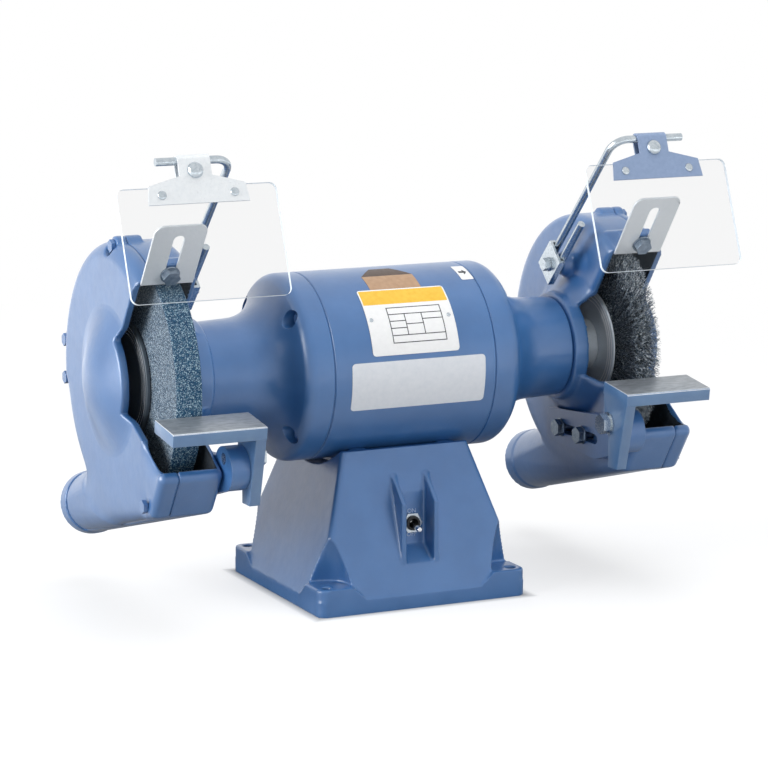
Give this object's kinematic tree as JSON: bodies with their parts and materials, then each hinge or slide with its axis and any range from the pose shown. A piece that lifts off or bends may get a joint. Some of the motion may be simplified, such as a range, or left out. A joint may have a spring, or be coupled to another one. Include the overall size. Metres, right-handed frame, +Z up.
{
  "type": "bench grinder",
  "caption": "Pedestal bench grinder with a grinding wheel on the left, a wire wheel on the right, guards, tool rests and clear eye shields.",
  "frame": {"origin": "centre of the four bench bolt holes, on the bench", "axes": "+X along the spindle to the wire wheel, +Z up, -Y to the operator"},
  "size_m": [0.538, 0.2728, 0.3822],
  "materials": {
    "painted_cast": "satin blue enamel on sand cast iron",
    "painted_shell": "satin blue enamel",
    "zinc_steel": "bright zinc plate",
    "dark_steel": "dark oiled steel",
    "bright_steel": "ground",
    "toggle_chrome": "polished",
    "copper": "varnished copper wire",
    "clear_sheet": "clear polished",
    "abrasive": "coarse vitrified grain",
    "paper": "matt card",
    "black_plastic": "moulded"
  },
  "bodies": {
    "grinder": {"base_casting": "painted_cast", "base_bottom_plate": "dark_steel", "bottom_plate_screws": "zinc_steel", "switch_body": "black_plastic", "switch_nut": "zinc_steel", "cable_gland": "black_plastic", "start_capacitor": "black_plastic", "motor_mount_bolts": "dark_steel", "motor_frame": "painted_shell", "stator_core": "dark_steel", "stator_windings": "copper", "left_end_bell": "painted_cast", "right_end_bell": "painted_cast", "end_bell_screws": "zinc_steel", "bearing_outer_rings": "bright_steel", "bearing_balls": "bright_steel", "left_guard_body": "painted_cast", "right_guard_body": "painted_cast", "left_guard_cover": "painted_cast", "right_guard_cover": "painted_cast", "cover_bolts": "painted_shell", "guard_mount_screws": "dark_steel", "spark_guard_bolts": "zinc_steel", "arm_clamp_bolts": "zinc_steel", "bracket_bolts": "painted_shell"},
    "spindle": {"spindle_shaft": "bright_steel", "rotor_core": "dark_steel", "bearing_inner_rings": "bright_steel", "grinding_wheel": "abrasive", "wheel_blotters": "paper", "wire_bristles": "dark_steel", "wire_wheel_plates": "dark_steel", "inner_flanges": "dark_steel", "outer_flanges": "dark_steel", "spindle_nuts": "zinc_steel"},
    "toggle": {"switch_lever": "toggle_chrome"},
    "left_arm": {"left_shield_arm": "zinc_steel", "left_arm_clamp": "zinc_steel"},
    "left_shield": {"left_shield_panel": "clear_sheet", "left_shield_bracket": "zinc_steel", "left_shield_rivets": "zinc_steel", "left_shield_screw": "zinc_steel"},
    "left_spark": {"left_spark_guard": "zinc_steel"},
    "left_bracket": {"left_rest_bracket": "painted_cast", "left_pivot_bolt": "zinc_steel"},
    "left_rest": {"left_tool_rest": "painted_cast"},
    "right_arm": {"right_shield_arm": "zinc_steel", "right_arm_clamp": "zinc_steel"},
    "right_shield": {"right_shield_panel": "clear_sheet", "right_shield_bracket": "zinc_steel", "right_shield_rivets": "zinc_steel", "right_shield_screw": "zinc_steel"},
    "right_spark": {"right_spark_guard": "zinc_steel"},
    "right_bracket": {"right_rest_bracket": "painted_cast", "right_pivot_bolt": "zinc_steel"},
    "right_rest": {"right_tool_rest": "painted_cast"}
  },
  "joints": [
    {"name": "spindle_spin", "type": "hinge", "parent": "grinder", "child": "spindle", "pos_m": [0, 0, 0.192], "axis": [1, 0, 0], "continuous": true},
    {"name": "switch_toggle", "type": "hinge", "parent": "grinder", "child": "toggle", "pos_m": [0, -0.0655, 0.066], "axis": [-1, 0, 0], "range_deg": [0, 20]},
    {"name": "left_arm_swing", "type": "hinge", "parent": "grinder", "child": "left_arm", "pos_m": [-0.17, 0.005, 0.262], "axis": [1, 0, 0], "range_deg": [-10, 20]},
    {"name": "left_shield_tilt", "type": "hinge", "parent": "left_arm", "child": "left_shield", "pos_m": [-0.203, -0.09712, 0.37747], "axis": [-1, 0, 0], "range_deg": [-5, 100]},
    {"name": "left_spark_slide", "type": "slide", "parent": "grinder", "child": "left_spark", "axis": [0, 0.5878, -0.809], "range_m": [0, 0.004]},
    {"name": "left_bracket_slide", "type": "slide", "parent": "grinder", "child": "left_bracket", "axis": [0, 1, 0], "range_m": [-0.0025, 0.0015]},
    {"name": "left_rest_tilt", "type": "hinge", "parent": "left_bracket", "child": "left_rest", "pos_m": [-0.1645, -0.112, 0.144], "axis": [1, 0, 0], "range_deg": [0, 30]},
    {"name": "right_arm_swing", "type": "hinge", "parent": "grinder", "child": "right_arm", "pos_m": [0.17, 0.005, 0.262], "axis": [1, 0, 0], "range_deg": [-10, 20]},
    {"name": "right_shield_tilt", "type": "hinge", "parent": "right_arm", "child": "right_shield", "pos_m": [0.203, -0.09712, 0.37747], "axis": [-1, 0, 0], "range_deg": [-5, 100]},
    {"name": "right_spark_slide", "type": "slide", "parent": "grinder", "child": "right_spark", "axis": [0, 0.5878, -0.809], "range_m": [0, 0.004]},
    {"name": "right_bracket_slide", "type": "slide", "parent": "grinder", "child": "right_bracket", "axis": [0, 1, 0], "range_m": [-0.0025, 0.0015]},
    {"name": "right_rest_tilt", "type": "hinge", "parent": "right_bracket", "child": "right_rest", "pos_m": [0.1645, -0.112, 0.144], "axis": [1, 0, 0], "range_deg": [0, 30]}
  ]
}
